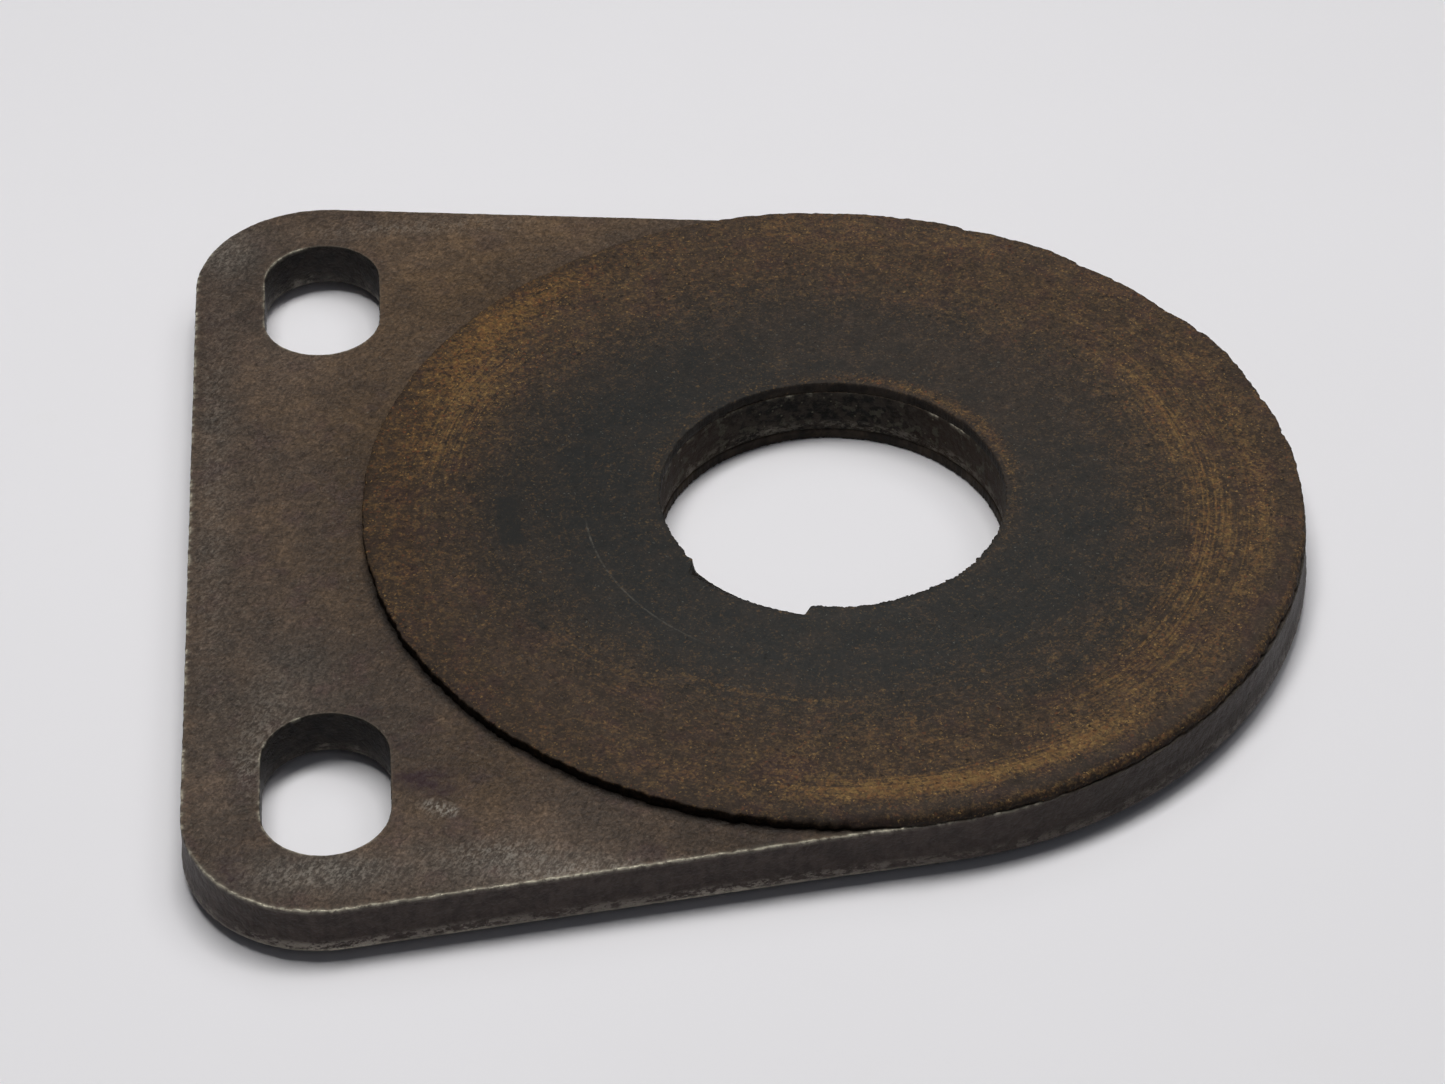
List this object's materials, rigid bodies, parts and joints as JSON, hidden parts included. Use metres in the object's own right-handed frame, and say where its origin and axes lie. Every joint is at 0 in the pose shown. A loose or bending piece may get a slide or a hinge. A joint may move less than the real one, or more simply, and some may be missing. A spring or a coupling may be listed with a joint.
{
  "type": "pad eye",
  "caption": "Flat steel eye plate with a round end, tapering sides and obround fixing slots, and a bonded wear facing on each side of the large eye.",
  "frame": {"origin": "centre of the eye, in the plate's middle plane", "axes": "+Z along the eye's axis, out of the upper facing; +X towards the round end, so the straight end with the fixing slots is at -X; +Y across the plate"},
  "size_m": [0.1431, 0.1382, 0.0096],
  "materials": {
    "plate_steel": "dark oxidised mill surface, worn bright along the edges",
    "facing_composite": "dull dark-brown friction composite with fine brassy flecks, polished near-black round the eye",
    "bond_adhesive": "dull black cured adhesive"
  },
  "bodies": {
    "root": {"eye_plate": "plate_steel", "upper_bond_film": "bond_adhesive", "upper_facing": "facing_composite", "lower_bond_film": "bond_adhesive", "lower_facing": "facing_composite"}
  },
  "joints": []
}
